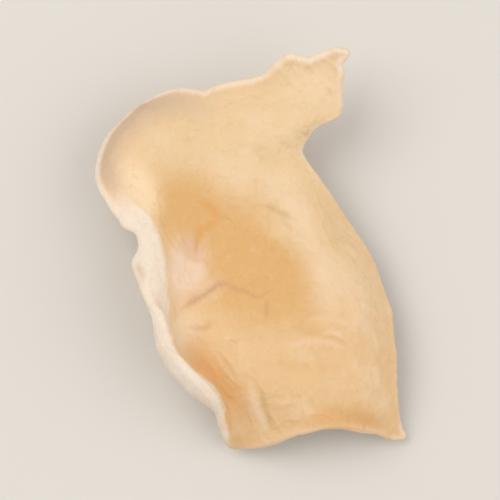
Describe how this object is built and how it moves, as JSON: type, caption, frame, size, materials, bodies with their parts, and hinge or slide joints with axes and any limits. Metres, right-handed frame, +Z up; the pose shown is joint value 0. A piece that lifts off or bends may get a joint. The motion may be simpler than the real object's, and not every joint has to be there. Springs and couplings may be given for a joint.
{
  "type": "dried snow fungus ear",
  "caption": "Curled, leathery ear of a dried pale jelly fungus, cut from its log, lying on its cut stalk and the low corners of its margin.",
  "frame": {"origin": "centre of the flat cut at the end of the stalk, on the surface that the ear lies on", "axes": "+Z up, away from that surface; +Y along the ear, towards its upper margin; +X towards the side with the raised tab"},
  "size_m": [0.038, 0.0486, 0.0127],
  "materials": {
    "dried_flesh": "waxy, translucent cream to honey yellow inside; chalky, finely felted and wrinkled outside; thin pale rim"
  },
  "bodies": {
    "root": {"fungus_ear": "dried_flesh"}
  },
  "joints": []
}
